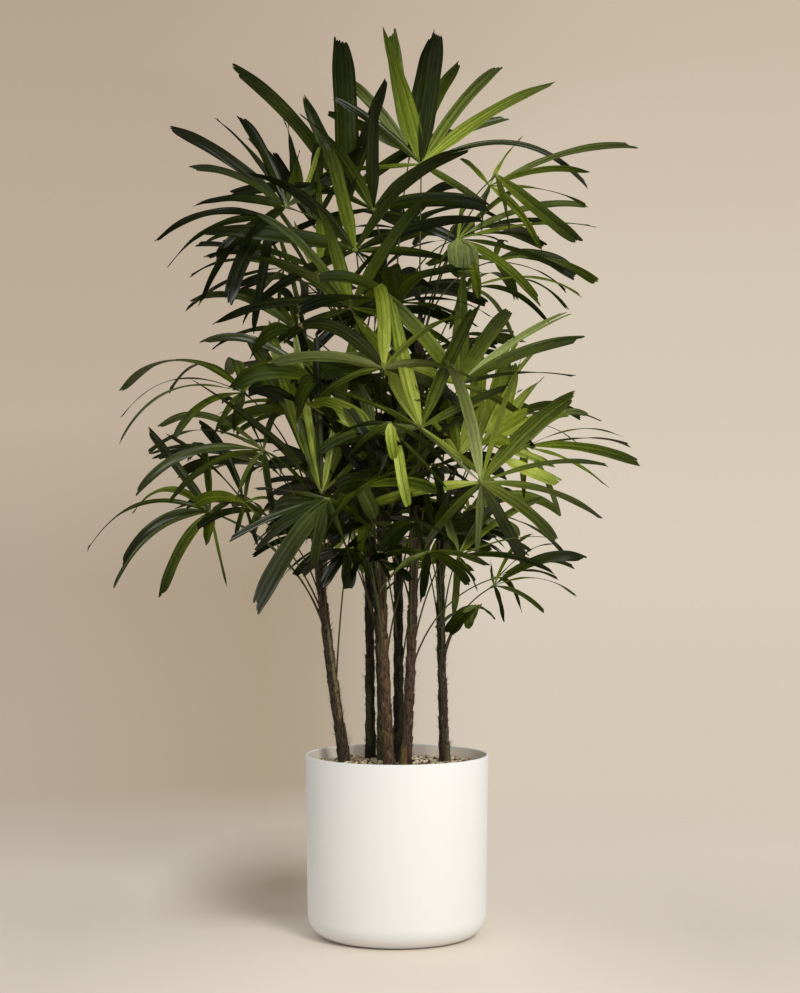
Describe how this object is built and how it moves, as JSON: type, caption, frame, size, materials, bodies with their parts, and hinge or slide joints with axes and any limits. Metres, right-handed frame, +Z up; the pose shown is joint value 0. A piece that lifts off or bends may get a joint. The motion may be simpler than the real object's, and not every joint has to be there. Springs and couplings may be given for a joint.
{
  "type": "potted lady palm",
  "caption": "Clump of slim brown canes with fan leaves on thin stalks, in a round straight-sided white planter topped with small stones.",
  "frame": {"origin": "centre of the planter's flat underside, on the floor", "axes": "+Z up, -Y towards the viewer of the front, +X to that viewer's right"},
  "size_m": [1.0879, 0.9648, 1.7963],
  "materials": {
    "planter": "matte, warm white",
    "soil": "damp bark and peat mix, dark brown",
    "gravel": "small mixed stones, cream, tan and grey-brown",
    "cane": "dark brown, ringed, with rough fibre",
    "leaf": "satin olive green"
  },
  "bodies": {
    "root": {"cane_dark": "cane", "cane_fibrous": "cane", "cane_left": "cane", "cane_rear": "cane", "cane_right": "cane", "cane_russet": "cane", "cane_thin": "cane", "gravel": "gravel", "leaf_dark_1": "leaf", "leaf_dark_2": "leaf", "leaf_dark_3": "leaf", "leaf_dark_4": "leaf", "leaf_dark_5": "leaf", "leaf_dark_6": "leaf", "leaf_fibrous_1": "leaf", "leaf_fibrous_2": "leaf", "leaf_fibrous_3": "leaf", "leaf_fibrous_4": "leaf", "leaf_fibrous_5": "leaf", "leaf_fibrous_6": "leaf", "leaf_fibrous_7": "leaf", "leaf_left_1": "leaf", "leaf_left_2": "leaf", "leaf_left_3": "leaf", "leaf_left_4": "leaf", "leaf_left_5": "leaf", "leaf_left_6": "leaf", "leaf_left_7": "leaf", "leaf_left_8": "leaf", "leaf_rear_1": "leaf", "leaf_rear_2": "leaf", "leaf_rear_3": "leaf", "leaf_rear_4": "leaf", "leaf_rear_5": "leaf", "leaf_rear_6": "leaf", "leaf_rear_7": "leaf", "leaf_right_1": "leaf", "leaf_right_10": "leaf", "leaf_right_2": "leaf", "leaf_right_3": "leaf", "leaf_right_4": "leaf", "leaf_right_5": "leaf", "leaf_right_6": "leaf", "leaf_right_7": "leaf", "leaf_right_8": "leaf", "leaf_right_9": "leaf", "leaf_russet_1": "leaf", "leaf_russet_2": "leaf", "leaf_russet_3": "leaf", "leaf_russet_4": "leaf", "leaf_russet_5": "leaf", "leaf_russet_6": "leaf", "leaf_russet_7": "leaf", "leaf_thin_1": "leaf", "leaf_thin_2": "leaf", "leaf_thin_3": "leaf", "leaf_thin_4": "leaf", "leaf_thin_5": "leaf", "planter": "planter", "soil": "soil"}
  },
  "joints": []
}
